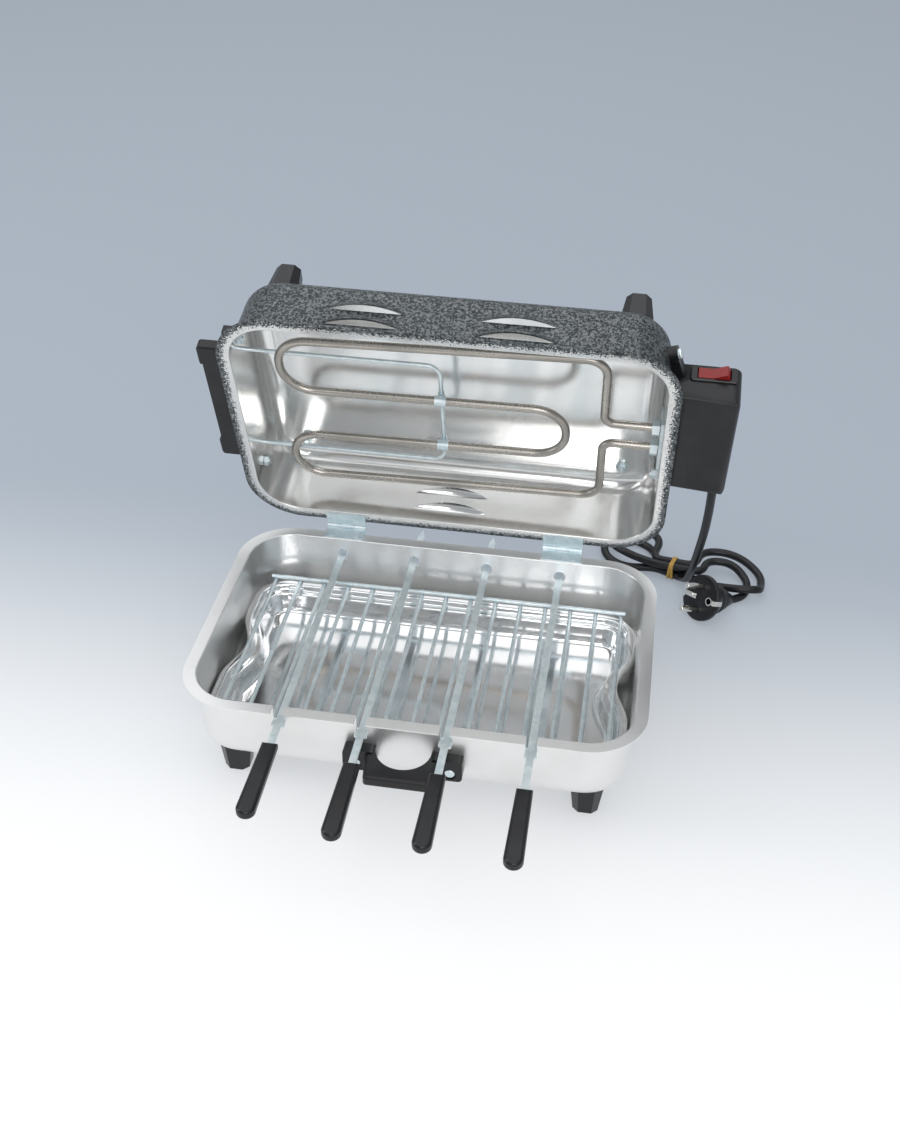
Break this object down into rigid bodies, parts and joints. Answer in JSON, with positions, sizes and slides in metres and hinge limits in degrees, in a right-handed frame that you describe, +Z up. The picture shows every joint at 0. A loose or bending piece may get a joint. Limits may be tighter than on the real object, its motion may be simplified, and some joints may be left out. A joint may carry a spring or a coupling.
{
  "type": "electric skewer grill",
  "caption": "Table-top electric barbecue grill: drawn pan with drip tray, wire grid and turning skewers under a hinged lid that carries the heating element, with corded plug.",
  "frame": {"origin": "under the middle of the grill without its cord, on the surface it stands on", "axes": "+X to the user's right, towards the control box; +Y to the back, towards the hinges; +Z up"},
  "size_m": [0.4227, 0.4484, 0.2882],
  "materials": {
    "base_sheet": "satin bare sheet",
    "lid_sheet": "hammertone outside, bright inside",
    "tray_sheet": "mirror bright",
    "zinc_steel": "bluish zinc plate",
    "heater_tube": "warm grey oxide",
    "bakelite": "black moulded satin",
    "red_rocker": "red gloss",
    "cord_rubber": "black satin",
    "nickel": "nickel plate",
    "yellow_band": "ochre yellow"
  },
  "bodies": {
    "base": {"base_hinge_rivets": "zinc_steel", "base_pan": "base_sheet", "base_push_nuts": "zinc_steel", "cord_hank": "cord_rubber", "drip_tray": "tray_sheet", "foot_front_left": "bakelite", "foot_front_right": "bakelite", "foot_rear_left": "bakelite", "foot_rear_right": "bakelite", "front_handle": "bakelite", "front_handle_nuts": "zinc_steel", "front_handle_screws": "zinc_steel", "hinge_leaf_base_left": "zinc_steel", "hinge_leaf_base_right": "zinc_steel", "hinge_pins": "zinc_steel", "plug_body": "cord_rubber", "plug_earth": "nickel", "plug_lead": "cord_rubber", "plug_pins": "nickel", "power_cord": "cord_rubber", "rubber_band": "yellow_band", "wire_grid": "zinc_steel"},
    "lid": {"control_box": "bakelite", "control_box_nuts": "zinc_steel", "control_box_screws": "zinc_steel", "cord_bush": "cord_rubber", "element_clamps": "zinc_steel", "heating_element": "heater_tube", "hinge_leaf_lid_left": "zinc_steel", "hinge_leaf_lid_right": "zinc_steel", "lid_foot_free_left": "bakelite", "lid_foot_free_right": "bakelite", "lid_foot_hinge_left": "bakelite", "lid_foot_hinge_right": "bakelite", "lid_handle": "bakelite", "lid_handle_bolts": "zinc_steel", "lid_handle_nuts": "zinc_steel", "lid_hinge_rivets": "zinc_steel", "lid_pan": "lid_sheet", "lid_push_nuts": "zinc_steel", "support_wire": "zinc_steel", "switch_body": "bakelite", "terminal_bushes": "zinc_steel", "terminal_plate": "zinc_steel"},
    "rocker": {"rocker": "red_rocker"},
    "skewer_1": {"skewer_1_blade": "zinc_steel", "skewer_1_handle": "bakelite"},
    "skewer_2": {"skewer_2_blade": "zinc_steel", "skewer_2_handle": "bakelite"},
    "skewer_3": {"skewer_3_blade": "zinc_steel", "skewer_3_handle": "bakelite"},
    "skewer_4": {"skewer_4_blade": "zinc_steel", "skewer_4_handle": "bakelite"}
  },
  "joints": [
    {"name": "lid_hinge", "type": "hinge", "parent": "base", "child": "lid", "pos_m": [-0.00875, 0.12233, 0.0779], "axis": [-1, 0, 0], "range_deg": [-70.6, 72], "deforming": ["power_cord"]},
    {"name": "rocker_tip", "type": "hinge", "parent": "lid", "child": "rocker", "pos_m": [0.16675, 0.09309, 0.24943], "axis": [0, -0.9432, -0.3322], "range_deg": [-24, 0]},
    {"name": "skewer_1_spin", "type": "hinge", "parent": "base", "child": "skewer_1", "pos_m": [-0.092, -0.10967, 0.0635], "axis": [0, 1, 0], "continuous": true},
    {"name": "skewer_2_spin", "type": "hinge", "parent": "base", "child": "skewer_2", "pos_m": [-0.0365, -0.11837, 0.0635], "axis": [0, 1, 0], "continuous": true},
    {"name": "skewer_3_spin", "type": "hinge", "parent": "base", "child": "skewer_3", "pos_m": [0.019, -0.11877, 0.0635], "axis": [0, 1, 0], "continuous": true},
    {"name": "skewer_4_spin", "type": "hinge", "parent": "base", "child": "skewer_4", "pos_m": [0.0745, -0.12247, 0.0635], "axis": [0, 1, 0], "continuous": true}
  ]
}
